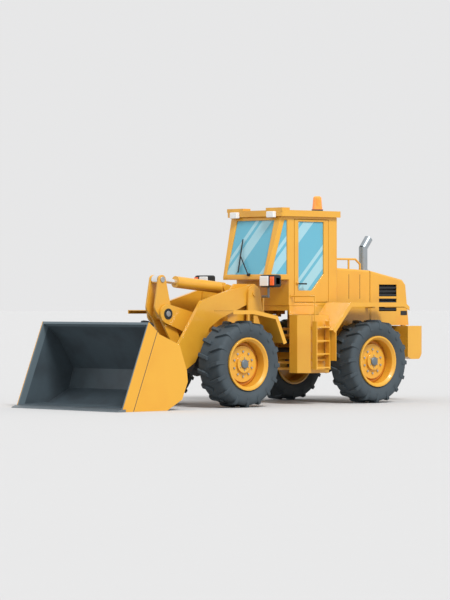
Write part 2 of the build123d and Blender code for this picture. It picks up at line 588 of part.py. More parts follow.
# Tilt link from the foot of the bell crank to the bucket, and its pin
with BuildPart() as tilt_link:
    hull_plate([(*CRANK_FOOT, 60), (*LINK_PIN, 55)], -35, 35)
    cross_bar(CRANK_FOOT, 68, -65, 65)
    cross_bar(LINK_PIN, 70, -50, 50)
    cross_bar(CRANK_FOOT, PIN_R, -65, 65, mode=Mode.SUBTRACT)
    cross_bar(LINK_PIN, 35 + PIN_PLAY, -50, 50, mode=Mode.SUBTRACT)
save(tilt_link, "tilt_link")

with BuildPart() as link_pin:
    cross_bar(LINK_PIN, 35, -111, 111)
    for side in (-1, 1):
        cross_bar(LINK_PIN, 70, side * 87, side * 111)
save(link_pin, "link_pin")

with BuildPart() as bucket_pins:
    for side in (-1, 1):
        cross_bar(BUCKET_PIN, PIN_R, side * 290, side * 465)
save(bucket_pins, "bucket_pins")

# Bucket: a curved trough between two side plates, with strips on their front edges and ears behind
BUCKET_LIP = (2940, 1335)
BUCKET_TOE = (3467, 0)
EDGE_X, EDGE_Z = 3400, 40
BUCKET_SIDE = 25
BUCKET_SKIN = BUCKET_HALF - 15
with BuildPart() as bucket_shell:
    plate([BUCKET_LIP, (2749, 1165), (2317, 994), (2169, 601), (2151, 430), (2265, 160), (2567, 0),
           BUCKET_TOE], -BUCKET_SKIN, BUCKET_SKIN)
    plate([(2880, 1263), (2647, 1068), (2347, 601), (2430, 290), (2847, 74), (3700, 45), (3700, 1310),
           (2975, 1310)], -BUCKET_SKIN + BUCKET_SIDE, BUCKET_SKIN - BUCKET_SIDE, mode=Mode.SUBTRACT)
    for side in (-1, 1):
        plate([BUCKET_LIP, (2740, 1165), (3200, 0), BUCKET_TOE], side * BUCKET_SKIN, side * BUCKET_HALF)
        for y in (300, 420):
            hull_plate([(*BUCKET_PIN, 100), (2220, 250, 40), (2220, 560, 40)], side * y, side * (y + 30))
        cross_bar(BUCKET_PIN, PIN_R + PIN_PLAY, side * 300, side * 450, mode=Mode.SUBTRACT)
        hull_plate([(*LINK_PIN, 65), (2240, 560, 40), (2270, 720, 40)], side * 58, side * 83)
        cross_bar(LINK_PIN, 35 + PIN_PLAY, side * 58, side * 83, mode=Mode.SUBTRACT)
    block(EDGE_X, FRONT_END, -BUCKET_HALF, BUCKET_HALF, -1, EDGE_Z, mode=Mode.SUBTRACT)
save(bucket_shell, "bucket_shell")

with BuildPart() as cutting_edge:
    plate([(EDGE_X, 0), (FRONT_END, 0), (FRONT_END, 12), (3480, EDGE_Z), (EDGE_X, EDGE_Z)],
          -BUCKET_HALF, BUCKET_HALF)
save(cutting_edge, "cutting_edge")

# Cylinders: a barrel with an eye at its base, and a rod with an eye at its tip
def barrel(base, tip, y, half, r, length, bore, eye_r, pin_r, clear):
    """A barrel from the base pin towards the tip, in an X-Z plane at y, cut clear of the lugs round its eye."""
    cross_bar(base, eye_r, y - half, y + half)
    rod_between((base[0], y, base[1]), along(base, tip, length, y), r)
    cross_bar(base, eye_r + clear, y - 3 * half, y - half, mode=Mode.SUBTRACT)
    cross_bar(base, eye_r + clear, y + half, y + 3 * half, mode=Mode.SUBTRACT)
    cross_bar(base, pin_r, y - half, y + half, mode=Mode.SUBTRACT)
    rod_between(along(base, tip, eye_r + 40, y), along(base, tip, length + 5, y), bore, mode=Mode.SUBTRACT)


def piston_rod(base, tip, y, half, r, start, eye_r, pin_r):
    """A rod that starts at a distance from the base pin and ends in the eye at the tip."""
    rod_between(along(base, tip, start, y), (tip[0], y, tip[1]), r)
    cross_bar(tip, eye_r, y - half, y + half)
    cross_bar(tip, pin_r, y - half, y + half, mode=Mode.SUBTRACT)


LIFT_Y = 215
with BuildPart() as lift_barrels:
    for side in (-1, 1):
        barrel(LIFT_BASE, LIFT_EYE, side * LIFT_Y, 60, 62, 985, 33, 60, 33 + PIN_PLAY, 25)
save(lift_barrels, "lift_barrels")

with BuildPart() as lift_rods:
    for side in (-1, 1):
        piston_rod(LIFT_BASE, LIFT_EYE, side * LIFT_Y, 30, 32, 139, 58, 33)
save(lift_rods, "lift_rods")

with BuildPart() as tilt_barrel:
    barrel(TILT_BASE, CRANK_TOP, 0, 55, 92, 1030, 43, 62, 35 + PIN_PLAY, 45)
save(tilt_barrel, "tilt_barrel")

with BuildPart() as tilt_rod:
    piston_rod(TILT_BASE, CRANK_TOP, 0, 68, 42, 220, 68, PIN_R)
save(tilt_rod, "tilt_rod")

STEER_LENGTH = hypot(STEER_EYE[0] - STEER_BASE[0], STEER_EYE[1] - STEER_BASE[1])
for side, tag in ((1, "left"), (-1, "right")):
    base = (STEER_BASE[0], side * STEER_BASE[1], STEER_Z)
    eye = (STEER_EYE[0], side * STEER_EYE[1], STEER_Z)
    reach = Vector(*eye) - Vector(*base)
    unit = reach * (1 / STEER_LENGTH)
    with BuildPart() as steer_barrel:
        post(base[0], base[1], 42, STEER_Z - 30, STEER_Z + 30)
        rod_between(base, tuple(Vector(*base) + unit * 500), 38)
        post(base[0], base[1], 80, STEER_Z + 30, STEER_Z + 90, mode=Mode.SUBTRACT)
        post(base[0], base[1], 80, STEER_Z - 90, STEER_Z - 30, mode=Mode.SUBTRACT)
        post(base[0], base[1], 25 + PIN_PLAY, STEER_Z - 30, STEER_Z + 30, mode=Mode.SUBTRACT)
        rod_between(tuple(Vector(*base) + unit * 60), tuple(Vector(*base) + unit * 505), 22,
                    mode=Mode.SUBTRACT)
    save(steer_barrel, f"steer_barrel_{tag}")
    with BuildPart() as steer_rod:
        rod_between(tuple(Vector(*base) + unit * 310), eye, 21)
        post(eye[0], eye[1], 38, STEER_Z - 38, STEER_Z + 38)
        post(eye[0], eye[1], 22, STEER_Z - 38, STEER_Z + 38, mode=Mode.SUBTRACT)
    save(steer_rod, f"steer_rod_{tag}")

# Wheels: tyres and rims built in flats, so that each stands on one
SHOULDER, WALL_OUT, WALL_TOP = 225, 275, 540
BEAD_OUT, BEAD_R = 200, 414
BORE_R = 376
FLANGE_R, FLANGE_OUT = 412, 236
WELL_R = 352
DISC_OUT, DISC_IN = 50, 20
DISH_R, DISH_OUT = 282, 90
HUB_R, HUB_OUT, HUB_IN = 139, 130, 170


def taper_between(r_from, r_to, length):
    """The taper in degrees that takes one radius to another over a length."""
    return degrees(atan2(r_from - r_to, length))


for x, end in ((FRONT_AXLE_X, "front"), (REAR_AXLE_X, "rear")):
    for side, tag in ((1, "left"), (-1, "right")):
        middle = side * WHEEL_Y
        with BuildPart() as tyre:
            for way in (-1, 1):
                wheel_disc(TYRE_RADIUS, x, middle, middle + way * SHOULDER)
                wheel_disc(TYRE_RADIUS, x, middle + way * SHOULDER, middle + way * 250, 45)
                wheel_disc(TYRE_RADIUS - 25, x, middle + way * 250, middle + way * WALL_OUT,
                           taper_between(TYRE_RADIUS - 25, WALL_TOP, WALL_OUT - 250))
                wheel_disc(WALL_TOP, x, middle + way * WALL_OUT, middle + way * BEAD_OUT,
                           taper_between(WALL_TOP, BEAD_R, WALL_OUT - BEAD_OUT), mode=Mode.SUBTRACT)
            wheel_disc(BORE_R, x, middle - WALL_OUT, middle + WALL_OUT, mode=Mode.SUBTRACT)
        save(tyre, f"tyre_{end}_{tag}")
        with BuildPart() as rim:
            wheel_disc(BORE_R - 1, x, middle - 205, middle + 205)
            for way in (-1, 1):
                wheel_disc(FLANGE_R, x, middle + way * (BEAD_OUT + 2), middle + way * FLANGE_OUT)
            for way, floor in ((side, DISC_OUT), (-side, -DISC_IN)):
                wheel_disc(WELL_R + 35, x, middle + way * FLANGE_OUT, middle + way * BEAD_OUT,
                           taper_between(WELL_R + 35, WELL_R, FLANGE_OUT - BEAD_OUT), mode=Mode.SUBTRACT)
                wheel_disc(WELL_R, x, middle + way * BEAD_OUT, middle + way * floor, mode=Mode.SUBTRACT)
            wheel_disc(DISH_R, x, middle + side * DISC_IN, middle + side * DISH_OUT, flats=AXLE_FLATS)
            wheel_disc(HUB_R, x, middle - side * HUB_IN, middle + side * HUB_OUT, flats=AXLE_FLATS)
            cross_bar((x, WHEEL_Z), SPINDLE_R + PIN_PLAY, middle - side * (HUB_IN + 1), middle + side * 114,
                      mode=Mode.SUBTRACT)
        save(rim, f"rim_{end}_{tag}")
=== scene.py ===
import bmesh
import bpy
import json
import math
from mathutils import Matrix, Vector


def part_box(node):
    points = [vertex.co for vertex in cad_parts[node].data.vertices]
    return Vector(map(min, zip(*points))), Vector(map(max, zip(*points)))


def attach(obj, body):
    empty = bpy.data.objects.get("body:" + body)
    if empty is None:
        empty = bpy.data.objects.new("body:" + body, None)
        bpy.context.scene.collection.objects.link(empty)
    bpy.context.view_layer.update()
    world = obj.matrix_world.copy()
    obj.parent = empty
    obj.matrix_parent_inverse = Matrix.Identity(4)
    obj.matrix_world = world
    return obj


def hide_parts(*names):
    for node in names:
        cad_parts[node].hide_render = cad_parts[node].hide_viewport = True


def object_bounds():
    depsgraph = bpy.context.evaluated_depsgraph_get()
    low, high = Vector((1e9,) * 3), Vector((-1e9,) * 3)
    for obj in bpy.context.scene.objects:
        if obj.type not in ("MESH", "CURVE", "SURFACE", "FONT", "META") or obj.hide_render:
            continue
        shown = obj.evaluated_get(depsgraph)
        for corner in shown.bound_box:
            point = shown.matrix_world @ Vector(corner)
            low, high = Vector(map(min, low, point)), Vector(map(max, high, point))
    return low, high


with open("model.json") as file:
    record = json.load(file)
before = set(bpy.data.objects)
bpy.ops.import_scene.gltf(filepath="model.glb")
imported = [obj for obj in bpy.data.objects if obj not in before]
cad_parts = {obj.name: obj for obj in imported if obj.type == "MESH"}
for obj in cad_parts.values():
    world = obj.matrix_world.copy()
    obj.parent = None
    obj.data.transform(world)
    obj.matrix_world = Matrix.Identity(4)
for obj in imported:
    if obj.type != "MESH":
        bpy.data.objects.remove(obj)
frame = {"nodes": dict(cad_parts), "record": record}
cad_low, cad_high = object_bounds()
NODES = frame["nodes"]
SCENE = bpy.context.scene

# Sizes in metres, as in the part's own frame
WHEEL_X = {"front": 0.835, "rear": -2.035}
WHEEL_Y = 0.975
TYRE_R = 0.675
HOOD_HALF = 0.555
CRANK_PIN = (1.590, 1.453)
CRANK_TOP = (1.665, 1.990)
BUCKET_HALF = 1.275
BUCKET_LIP = Vector((2.940, 0, 1.335))
BUCKET_TOE = Vector((3.467, 0, 0))
SIDES = (("left", 1), ("right", -1))

# Colours, linear
YELLOW = (0.690, 0.350, 0.030)
ORANGE = (0.600, 0.235, 0.018)
SLATE = (0.052, 0.073, 0.087)
SLATE_LIGHT = (0.105, 0.140, 0.160)
STEEL = (0.175, 0.205, 0.225)
BLACK = (0.012, 0.014, 0.016)
DARK = (0.030, 0.036, 0.042)
SKY_BLUE = (0.140, 0.450, 0.590)
# The pale blue below is the painted reflection on the glass
GLARE_BLUE = (0.430, 0.680, 0.750)
WHITE = (0.780, 0.790, 0.780)
AMBER = (0.95, 0.28, 0.03)
AMBER_LIGHT = (1.0, 0.45, 0.08)

# Noise below the floor shows no patch, and above it patches grow at this rate
PATCH_FLOOR, PATCH_RATE = 0.42, 4
GRAIN_DEPTH = 0.002
GRAIN_DETAIL = 6.0

# Sockets of the colour form of Blender's Mix node
MIX_A, MIX_B, MIX_RESULT = 6, 7, 2


def new_material(name, colour, roughness, metallic=0.0, coat=0.0):
    """A material with one shader, its gloss set on the shader itself."""
    material = bpy.data.materials.new(name)
    material.use_nodes = True
    shader = material.node_tree.nodes["Principled BSDF"]
    shader.inputs["Base Color"].default_value = (*colour, 1)
    shader.inputs["Roughness"].default_value = roughness
    shader.inputs["Metallic"].default_value = metallic
    shader.inputs["Coat Weight"].default_value = coat
    return material, shader


def object_noise(material, scale, detail=3.0):
    """Noise over the piece's own place in the frame."""
    tree = material.node_tree
    place = tree.nodes.new("ShaderNodeTexCoord")
    noise = tree.nodes.new("ShaderNodeTexNoise")
    noise.inputs["Scale"].default_value = scale
    noise.inputs["Detail"].default_value = detail
    tree.links.new(place.outputs["Object"], noise.inputs["Vector"])
    return noise.outputs["Fac"]


def math_node(material, operation, first, second=0.0, third=0.0):
    """One sum, product or comparison of sockets or numbers."""
    tree = material.node_tree
    node = tree.nodes.new("ShaderNodeMath")
    node.operation = operation
    for socket, value in zip(node.inputs, (first, second, third)):
        if isinstance(value, (int, float)):
            socket.default_value = value
        else:
            tree.links.new(value, socket)
    return node.outputs["Value"]


def blend_colours(material, factor, first, second):
    """A colour between two, each a socket or a plain colour."""
    tree = material.node_tree
    mix = tree.nodes.new("ShaderNodeMix")
    mix.data_type = "RGBA"
    tree.links.new(factor, mix.inputs["Factor"])
    for index, value in ((MIX_A, first), (MIX_B, second)):
        if isinstance(value, tuple):
            mix.inputs[index].default_value = (*value, 1)
        else:
            tree.links.new(value, mix.inputs[index])
    return mix.outputs[MIX_RESULT]


def mottle(material, first, second, scale, amount):
    """A colour with soft patches of a second one."""
    patches = math_node(material, "SUBTRACT", object_noise(material, scale), PATCH_FLOOR)
    factor = math_node(material, "MULTIPLY", patches, amount * PATCH_RATE)
    clamped = math_node(material, "MINIMUM", math_node(material, "MAXIMUM", factor, 0.0), amount)
    return blend_colours(material, clamped, first, second)


def colour_from(material, shader, colour):
    """Feeds the shader's colour from a socket."""
    material.node_tree.links.new(colour, shader.inputs["Base Color"])


def grain(material, shader, scale, strength):
    """A fine surface texture."""
    tree = material.node_tree
    bump = tree.nodes.new("ShaderNodeBump")
    bump.inputs["Strength"].default_value = strength
    bump.inputs["Distance"].default_value = GRAIN_DEPTH
    tree.links.new(object_noise(material, scale, GRAIN_DETAIL), bump.inputs["Height"])
    tree.links.new(bump.outputs["Normal"], shader.inputs["Normal"])


def paint(name, colour, second, roughness, coat=0.0, metallic=0.0, patch=2.5, amount=0.25,
          fine=180.0, relief=0.05):
    """A painted, moulded or bare metal surface with soft patches and a fine grain."""
    material, shader = new_material(name, colour, roughness, metallic, coat)
    colour_from(material, shader, mottle(material, colour, second, patch, amount))
    grain(material, shader, fine, relief)
    return material


def place_axes(material):
    """The piece's own X, Y and Z as sockets."""
    tree = material.node_tree
    place = tree.nodes.new("ShaderNodeTexCoord")
    split = tree.nodes.new("ShaderNodeSeparateXYZ")
    tree.links.new(place.outputs["Object"], split.inputs["Vector"])
    return split.outputs["X"], split.outputs["Y"], split.outputs["Z"]


# Bands on the bucket, measured in from its side, its front edge and its lip
OUTER_SKIN, SIDE_PLATE = 0.0155, 0.055
FRONT_STRIP, LIP_BAND = 0.110, 0.075
STRIP_SEAM, STRIP_SEAM_HALF = 0.200, 0.006


def bucket_paint():
    """Slate inside, yellow on the outer side plates, with a lighter edge along plates and lip."""
    material, shader = new_material("bucket_paint", SLATE, 0.5)
    x, y, z = place_axes(material)
    along_edge = (BUCKET_TOE - BUCKET_LIP).normalized()
    ahead = Vector((-along_edge.z, 0, along_edge.x))
    reach = math_node(material, "ADD", math_node(material, "MULTIPLY", x, ahead.x),
                      math_node(material, "MULTIPLY", z, ahead.z))
    edge = ahead.dot(BUCKET_LIP)
    side = math_node(material, "ABSOLUTE", y)
    outside = math_node(material, "GREATER_THAN", side, BUCKET_HALF - OUTER_SKIN)
    on_plate = math_node(material, "GREATER_THAN", side, BUCKET_HALF - SIDE_PLATE)
    strip = math_node(material, "MULTIPLY", on_plate,
                      math_node(material, "GREATER_THAN", reach, edge - FRONT_STRIP))
    lip = math_node(material, "GREATER_THAN", z, BUCKET_LIP.z - LIP_BAND)
    light = math_node(material, "MAXIMUM", strip, lip)
    inside = mottle(material, SLATE, DARK, 3.0, 0.5)
    inside = blend_colours(material, light, inside, SLATE_LIGHT)
    outer = mottle(material, YELLOW, ORANGE, 1.2, 0.3)
    seam = math_node(material, "COMPARE", reach, edge - STRIP_SEAM, STRIP_SEAM_HALF)
    outer = blend_colours(material, seam, outer, DARK)
    colour_from(material, shader, blend_colours(material, outside, inside, outer))
    grain(material, shader, 60.0, 0.12)
    return material


# Painted reflections on the glass, as pale bands: turns to a metre of X - Y + Z, and each band's middle and
# half width in a turn
GLARE_BANDS_PER_METRE = 1.05
WIDE_GLARE_BAND, NARROW_GLARE_BAND = (0.34, 0.12), (0.58, 0.045)
GLARE_STRENGTH = 0.75
GLASS_ALPHA, GLASS_IOR = 0.86, 1.5


def window_glass():
    """Light blue glass with pale slanting bands of painted reflection."""
    material, shader = new_material("window_glass", SKY_BLUE, 0.06)
    shader.inputs["Alpha"].default_value = GLASS_ALPHA
    shader.inputs["IOR"].default_value = GLASS_IOR
    x, y, z = place_axes(material)
    # The pale bands are painted reflections, slanting across the glass in the piece's own X, Y and Z
    slant = math_node(material, "ADD", math_node(material, "SUBTRACT", x, y), z)
    turn = math_node(material, "FRACT", math_node(material, "MULTIPLY", slant, GLARE_BANDS_PER_METRE))
    wide = math_node(material, "COMPARE", turn, *WIDE_GLARE_BAND)
    narrow_glare = math_node(material, "COMPARE", turn, *NARROW_GLARE_BAND)
    glare_bands = math_node(material, "MAXIMUM", wide, narrow_glare)
    factor = math_node(material, "MULTIPLY", glare_bands, GLARE_STRENGTH)
    colour_from(material, shader, blend_colours(material, factor, SKY_BLUE, GLARE_BLUE))
    return material


# Height of the beacon's amber cover, down from its top
BEACON_COVER = 0.215


def beacon_plastic():
    """Amber cover over a dark foot."""
    material, shader = new_material("beacon_plastic", AMBER, 0.2, coat=0.5)
    height = place_axes(material)[2]
    foot = math_node(material, "LESS_THAN", height, cad_high.z - BEACON_COVER)
    cover = mottle(material, AMBER, AMBER_LIGHT, 8.0, 0.6)
    colour_from(material, shader, blend_colours(material, foot, cover, DARK))
    return material


MACHINE_YELLOW = paint("machine_yellow", YELLOW, ORANGE, 0.32, coat=0.35)
RIM_YELLOW = paint("rim_yellow", YELLOW, ORANGE, 0.38, coat=0.2, patch=5.0)
SHADE_ORANGE = paint("shade_orange", (0.58, 0.21, 0.016), ORANGE, 0.40, coat=0.2)
CHASSIS_DARK = paint("chassis_dark", (0.045, 0.052, 0.060), BLACK, 0.5, patch=4.0, relief=0.12)
TYRE_RUBBER = paint("tyre_rubber", (0.046, 0.063, 0.075), DARK, 0.78, patch=6.0, fine=260.0, relief=0.25)
ROD_CHROME = paint("rod_chrome", (0.86, 0.87, 0.88), (0.70, 0.72, 0.74), 0.14, metallic=0.85, relief=0.0)
PIN_STEEL = paint("pin_steel", (0.45, 0.47, 0.49), STEEL, 0.35, metallic=0.8, patch=20.0)
EDGE_STEEL = paint("edge_steel", STEEL, (0.14, 0.17, 0.19), 0.42, metallic=0.5, patch=7.0, amount=0.5,
                   relief=0.2)
TRIM_BLACK = paint("trim_black", BLACK, DARK, 0.75, patch=9.0, relief=0.15)
LAMP_WHITE = paint("lamp_white", WHITE, (0.75, 0.78, 0.80), 0.12, coat=0.6, patch=12.0, relief=0.0)
LAMP_ORANGE = paint("lamp_orange", (0.90, 0.13, 0.02), (0.80, 0.06, 0.01), 0.2, coat=0.5, patch=14.0)
EXHAUST_GREY = paint("exhaust_grey", (0.33, 0.37, 0.40), (0.20, 0.21, 0.22), 0.36, metallic=0.6, patch=6.0)
FABRIC = paint("cushion_fabric", (0.060, 0.066, 0.074), (0.035, 0.040, 0.048), 0.9, patch=30.0, fine=700.0,
               relief=0.5)
BUCKET_PAINT = bucket_paint()
WINDOW_GLASS = window_glass()
BEACON_PLASTIC = beacon_plastic()

SLOT_MATERIALS = {
    "machine_yellow": MACHINE_YELLOW,
    "bucket_grey": BUCKET_PAINT,
    "edge_steel": EDGE_STEEL,
    "chassis_dark": CHASSIS_DARK,
    "tyre_rubber": TYRE_RUBBER,
    "rod_chrome": ROD_CHROME,
    "pin_steel": PIN_STEEL,
    "cab_glass": WINDOW_GLASS,
    "trim_black": TRIM_BLACK,
    "lamp_white": LAMP_WHITE,
    "beacon_amber": BEACON_PLASTIC,
    "exhaust_grey": EXHAUST_GREY,
    "cushion_fabric": FABRIC,
}
BEVELS = {
    "hood_shell": 0.030,
    "counterweight": 0.030,
    "cab_roof": 0.022,
    "engine_deck": 0.014,
    "cab_frame": 0.010,
    "door_panel": 0.008,
    "boom": 0.010,
    "bell_crank": 0.010,
    "side_boxes": 0.012,
    "front_frame": 0.008,
    "rear_frame": 0.008,
    "roof_lamps": 0.012,
    "beacon": 0.008,
}
THIN_BEVEL = 0.003
SHARP = math.radians(32)
WELD_REACH = 0.00005
FLAT = math.radians(0.6)


def dress_node(name, material):
    """Paints a CAD node and rounds its edges, leaving its mesh as it is."""
    node = NODES[name]
    mesh = node.data
    mesh.materials.clear()
    mesh.materials.append(material)
    if "custom_normal" in mesh.attributes:
        mesh.attributes.remove(mesh.attributes["custom_normal"])
    for face in mesh.polygons:
        face.use_smooth = True
        face.material_index = 0
    weld = node.modifiers.new("weld", "WELD")
    weld.merge_threshold = WELD_REACH
    flat = node.modifiers.new("flat_faces", "DECIMATE")
    flat.decimate_type = "DISSOLVE"
    flat.angle_limit = FLAT
    round_edges(node, BEVELS.get(name, THIN_BEVEL))


def round_edges(piece, width):
    """Rounds a piece's sharp edges without changing its mesh."""
    bevel = piece.modifiers.new("rounded_edges", "BEVEL")
    bevel.width = width
    bevel.segments = 2
    bevel.limit_method = "ANGLE"
    bevel.angle_limit = SHARP
    bevel.harden_normals = True


def add_piece(name, shape, material, body, bevel=0.0, replaced=()):
    """Turns a bmesh into a piece that rides on a body."""
    mesh = bpy.data.meshes.new(name)
    bmesh.ops.recalc_face_normals(shape, faces=shape.faces[:])
    shape.to_mesh(mesh)
    shape.free()
    mesh.materials.append(material)
    for face in mesh.polygons:
        face.use_smooth = True
    piece = bpy.data.objects.new(name, mesh)
    SCENE.collection.objects.link(piece)
    if bevel:
        round_edges(piece, bevel)
    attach(piece, body)
    if replaced:
        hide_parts(*replaced)
    return piece


def add_box(shape, low, high):
    """A block between two corners."""
    low, high = Vector(low), Vector(high)
    size = Matrix.Diagonal((*(high - low), 1))
    bmesh.ops.create_cube(shape, size=1.0, matrix=Matrix.Translation((low + high) / 2) @ size)


def add_round(shape, start, end, radius, flats=32):
    """A round bar from one point to another."""
    start, end = Vector(start), Vector(end)
    turn = (end - start).to_track_quat("Z", "Y").to_matrix().to_4x4()
    bmesh.ops.create_cone(shape, cap_ends=True, segments=flats, radius1=radius, radius2=radius,
                          depth=(end - start).length, matrix=Matrix.Translation((start + end) / 2) @ turn)


def add_turned(shape, profile, x, y, way, z=TYRE_R, steps=96):
    """A ring turned about a wheel's axle, from a closed outline of (radius, distance out)."""
    rings = []
    for step in range(steps):
        angle = math.tau * step / steps
        ring = [shape.verts.new((x + r * math.cos(angle), y + way * out, z + r * math.sin(angle)))
                for r, out in profile]
        rings.append(ring)
    for ring, following in zip(rings, rings[1:] + rings[:1]):
        for index in range(len(profile)):
            after = (index + 1) % len(profile)
            shape.faces.new((ring[index], ring[after], following[after], following[index]))


# Tyres: a rounded carcass with slanting lugs, half a pitch apart on the two sides
CARCASS = [(0.414, 0.200), (0.455, 0.228), (0.500, 0.248), (0.545, 0.257), (0.585, 0.254), (0.615, 0.243),
           (0.633, 0.222), (0.640, 0.190)]
LUGS = 16
LUG_STATIONS = [(0.012, 0.6735), (0.090, 0.6745), (0.170, 0.6745), (0.222, 0.6730), (0.246, 0.6500),
                (0.259, 0.6080), (0.264, 0.5800)]
LUG_ROOT_DEPTH = 0.060
LUG_HALF, LUG_ROOT_WIDER = 0.028, 0.010
LUG_LEAD = 0.038
TREAD_R = 0.640
BORE = [(0.378, -0.196), (0.378, 0.196)]


def lug_section(x, y, way, angle, out, top):
    """Four corners of a lug at one distance from the tyre's middle."""
    first, last = LUG_STATIONS[0][0], LUG_STATIONS[-1][0]
    lead = LUG_LEAD * (2 * (out - first) / (last - first) - 1)
    corners = []
    for radius, half in ((top - LUG_ROOT_DEPTH, LUG_HALF + LUG_ROOT_WIDER), (top, LUG_HALF)):
        for sign in (-1, 1):
            turn = angle + (lead + sign * half) / TYRE_R
            corners.append((x + radius * math.cos(turn), y + way * out, TYRE_R + radius * math.sin(turn)))
    low_back, low_front, high_back, high_front = corners
    return low_back, high_back, high_front, low_front


def add_lug(shape, x, y, way, angle):
    """One lug, from the middle of the tread to the shoulder."""
    rings = [[shape.verts.new(corner) for corner in lug_section(x, y, way, angle, out, top)]
             for out, top in LUG_STATIONS]
    for ring, following in zip(rings, rings[1:]):
        for index in range(4):
            after = (index + 1) % 4
            shape.faces.new((ring[index], ring[after], following[after], following[index]))
    shape.faces.new(rings[0])
    shape.faces.new(rings[-1][::-1])


def build_tyre(end, tag, side):
    """One tyre with its lugs, in the place of the plain one."""
    x, y = WHEEL_X[end], side * WHEEL_Y
    shape = bmesh.new()
    outline = CARCASS + [(TREAD_R, 0.0)] + [(r, -out) for r, out in reversed(CARCASS)] + BORE
    add_turned(shape, outline, x, y, 1)
    for way in (-1, 1):
        for index in range(LUGS):
            angle = math.tau * (index + (0.5 if way < 0 else 0.0)) / LUGS
            add_lug(shape, x, y, way, angle)
    add_piece(f"lugged_tyre_{end}_{tag}", shape, TYRE_RUBBER, f"wheel_{end}_{tag}", bevel=0.007,
              replaced=(f"tyre_{end}_{tag}",))


# Wheel fastenings: bolts round the dish, a hub cap and a ring of small screws
DISH_OUT, HUB_OUT = 0.090, 0.130
SUNK = 0.002
# Rows of heads: how many, their circle, the face they stand on, their height and radius
HEAD_ROWS = ((10, 0.194, DISH_OUT, 0.020, 0.017), (6, 0.095, HUB_OUT, 0.012, 0.010))
HEX = 6
CAP_OUTLINE = [(0.0005, HUB_OUT - SUNK), (0.072, HUB_OUT - SUNK), (0.072, HUB_OUT + 0.016),
               (0.062, HUB_OUT + 0.028), (0.035, HUB_OUT + 0.034), (0.0005, HUB_OUT + 0.036)]
# The outline below is a thin ring of painted shade in the groove between dish and flange
GUTTER_SHADE_OUTLINE = [(0.283, 0.049), (0.352, 0.049), (0.352, 0.056), (0.283, 0.056)]


def build_wheel_fastenings(end, tag, side):
    """Bolts, hub cap and a ring of painted shade in the groove between dish and flange."""
    x, y = WHEEL_X[end], side * WHEEL_Y
    bolts = bmesh.new()
    for count, circle, foot, height, radius in HEAD_ROWS:
        for index in range(count):
            angle = math.tau * (index + 0.5) / count
            at_x, at_z = x + circle * math.cos(angle), TYRE_R + circle * math.sin(angle)
            add_round(bolts, (at_x, y + side * (foot - SUNK), at_z),
                      (at_x, y + side * (foot + height), at_z), radius, flats=HEX)
    add_piece(f"wheel_bolts_{end}_{tag}", bolts, PIN_STEEL, f"wheel_{end}_{tag}", bevel=0.002)
    cap = bmesh.new()
    add_turned(cap, CAP_OUTLINE, x, y, side, steps=48)
    add_piece(f"hub_cap_{end}_{tag}", cap, EDGE_STEEL, f"wheel_{end}_{tag}", bevel=0.002)
    # A thin ring in the darker shade orange: painted shade in the groove between dish and flange
    shaded_groove = bmesh.new()
    add_turned(shaded_groove, GUTTER_SHADE_OUTLINE, x, y, side)
    add_piece(f"rim_gutter_shade_{end}_{tag}", shaded_groove, SHADE_ORANGE, f"wheel_{end}_{tag}")


# Headlamps: rounded housings on stalks, a white lens in front and an indicator at the outer end
LAMP_INNER, LAMP_BOTTOM = 0.600, 1.870
INDICATOR_WIDTH = 0.115
# Distances in from a housing's faces: the front, the sides, and the top and bottom rims
HOUSING_FRONT = 0.020
LENS_BACK, LENS_FRONT, LENS_SIDE, LENS_RIM = 0.030, 0.004, 0.018, 0.020
INDICATOR_BACK, INDICATOR_FRONT, INDICATOR_RIM = 0.030, 0.006, 0.030
INDICATOR_NEAR, INDICATOR_FAR = 0.092, 0.012
SIDE_LENS_DEPTH, SIDE_LENS_REAR, SIDE_LENS_FRONT, SIDE_LENS_RIM = 0.010, 0.035, 0.055, 0.045
STALK_ELBOW = (-0.062, 0.700, 1.725)
STALK_R, STALK_TOP, STALK_START, STALK_END = 0.020, 1.874, 0.012, 0.560


